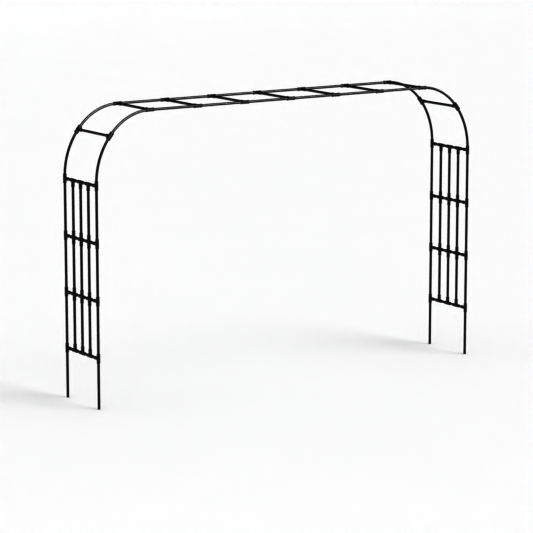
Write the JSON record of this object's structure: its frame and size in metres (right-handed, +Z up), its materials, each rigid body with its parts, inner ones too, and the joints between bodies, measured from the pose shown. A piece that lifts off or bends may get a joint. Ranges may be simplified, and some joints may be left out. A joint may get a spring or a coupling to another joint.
{
  "type": "garden trellis arch",
  "caption": "Wide black tubular steel garden arch: slatted side panels, rounded corners and a flat ladder top, push-fit together with tee and cross connectors for climbing plants.",
  "frame": {"origin": "middle of the arch in plan, at the level of the leg tips; the soil line is 0.12 m above it", "axes": "+X along the span from the left panel to the right panel, +Y through the arch from front to back, +Z up"},
  "size_m": [2.8188, 0.4074, 1.9246],
  "materials": {
    "tube": "semi-gloss black powder coat",
    "fitting": "moulded black plastic, low sheen"
  },
  "bodies": {
    "root": {"left_crossbar_1": "tube", "left_crossbar_2": "tube", "left_crossbar_3": "tube", "left_crossbar_4": "tube", "left_front_leg": "tube", "left_front_upright": "tube", "left_back_leg": "tube", "left_back_upright": "tube", "left_front_bar": "tube", "left_middle_bar": "tube", "left_back_bar": "tube", "left_front_bend_lower": "tube", "left_front_bend_upper": "tube", "left_front_corner_tee": "fitting", "left_back_bend_lower": "tube", "left_back_bend_upper": "tube", "left_back_corner_tee": "fitting", "left_corner_rung": "tube", "right_crossbar_1": "tube", "right_crossbar_2": "tube", "right_crossbar_3": "tube", "right_crossbar_4": "tube", "right_front_leg": "tube", "right_front_upright": "tube", "right_back_leg": "tube", "right_back_upright": "tube", "right_front_bar": "tube", "right_middle_bar": "tube", "right_back_bar": "tube", "right_front_bend_lower": "tube", "right_front_bend_upper": "tube", "right_front_corner_tee": "fitting", "right_back_bend_lower": "tube", "right_back_bend_upper": "tube", "right_back_corner_tee": "fitting", "right_corner_rung": "tube", "top_front_rail": "tube", "top_front_tee_1": "fitting", "top_front_tee_2": "fitting", "top_front_tee_3": "fitting", "top_front_tee_4": "fitting", "top_front_tee_5": "fitting", "top_front_tee_6": "fitting", "top_front_tee_7": "fitting", "top_back_rail": "tube", "top_back_tee_1": "fitting", "top_back_tee_2": "fitting", "top_back_tee_3": "fitting", "top_back_tee_4": "fitting", "top_back_tee_5": "fitting", "top_back_tee_6": "fitting", "top_back_tee_7": "fitting", "top_rung_1": "tube", "top_rung_2": "tube", "top_rung_3": "tube", "top_rung_4": "tube", "top_rung_5": "tube", "top_rung_6": "tube", "top_rung_7": "tube"}
  },
  "joints": []
}
